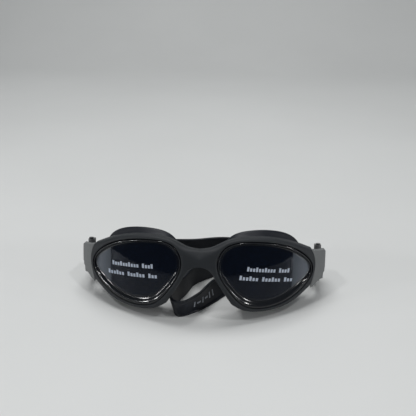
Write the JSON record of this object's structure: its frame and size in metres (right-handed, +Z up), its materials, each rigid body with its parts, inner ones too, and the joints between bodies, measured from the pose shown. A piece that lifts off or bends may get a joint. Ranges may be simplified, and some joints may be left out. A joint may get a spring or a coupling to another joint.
{
  "type": "swimming goggles",
  "caption": "Wrap-around swim goggles: soft one-piece frame, tinted curved lenses, flared face seals, swivelling strap buckles and a folded silicone head strap.",
  "frame": {"origin": "on the table plane, under the middle of the outline", "axes": "+X to the viewer's right across both eyes, +Y back towards the wearer's face, +Z up; the goggles stand on their seals and strap, leaning back 14 degrees"},
  "size_m": [0.1774, 0.0804, 0.0568],
  "materials": {
    "frame": "matte charcoal, soft touch",
    "carrier": "gloss black",
    "lens": "dark smoke tint, polished",
    "film": "clear peel-off film",
    "seal": "soft black silicone",
    "arm": "fine-textured grey",
    "buckle": "satin grey",
    "lever": "black",
    "pin": "blackened",
    "strap": "black silicone, satin"
  },
  "bodies": {
    "goggles": {"front_frame": "frame", "nose_pad": "seal", "head_strap": "strap", "lens_carrier_right": "carrier", "lens_right": "lens", "face_seal_right": "seal", "side_arm_right": "arm", "buckle_pin_right": "pin", "lens_carrier_left": "carrier", "lens_left": "lens", "face_seal_left": "seal", "side_arm_left": "arm", "buckle_pin_left": "pin"},
    "buckle_right": {"strap_buckle_right": "buckle", "lever_pin_right": "pin", "strap_end_right": "strap"},
    "lever_right": {"lock_lever_right": "lever"},
    "film_right": {"lens_film_right": "film"},
    "buckle_left": {"strap_buckle_left": "buckle", "lever_pin_left": "pin", "strap_end_left": "strap"},
    "lever_left": {"lock_lever_left": "lever"},
    "film_left": {"lens_film_left": "film"}
  },
  "joints": [
    {"name": "buckle_swivel_right", "type": "hinge", "parent": "goggles", "child": "buckle_right", "pos_m": [0.0824, 0.00798, 0.02029], "axis": [0, -0.2419, -0.9703], "range_deg": [-6, 15]},
    {"name": "lever_press_right", "type": "hinge", "parent": "buckle_right", "child": "lever_right", "pos_m": [0.0861, 0.01924, 0.01748], "axis": [0, 0.2419, 0.9703], "range_deg": [0, 8], "stiffness_Nm_per_rad": 0.02, "springref_deg": -8.59},
    {"name": "film_lift_right", "type": "slide", "parent": "goggles", "child": "film_right", "axis": [0, -0.9703, 0.2419], "range_m": [0, 0.03]},
    {"name": "buckle_swivel_left", "type": "hinge", "parent": "goggles", "child": "buckle_left", "pos_m": [-0.0824, 0.00798, 0.02029], "axis": [0, 0.2419, 0.9703], "range_deg": [-6, 15]},
    {"name": "lever_press_left", "type": "hinge", "parent": "buckle_left", "child": "lever_left", "pos_m": [-0.0861, 0.01924, 0.01748], "axis": [0, -0.2419, -0.9703], "range_deg": [0, 8], "stiffness_Nm_per_rad": 0.02, "springref_deg": -8.59},
    {"name": "film_lift_left", "type": "slide", "parent": "goggles", "child": "film_left", "axis": [0, -0.9703, 0.2419], "range_m": [0, 0.03]}
  ]
}
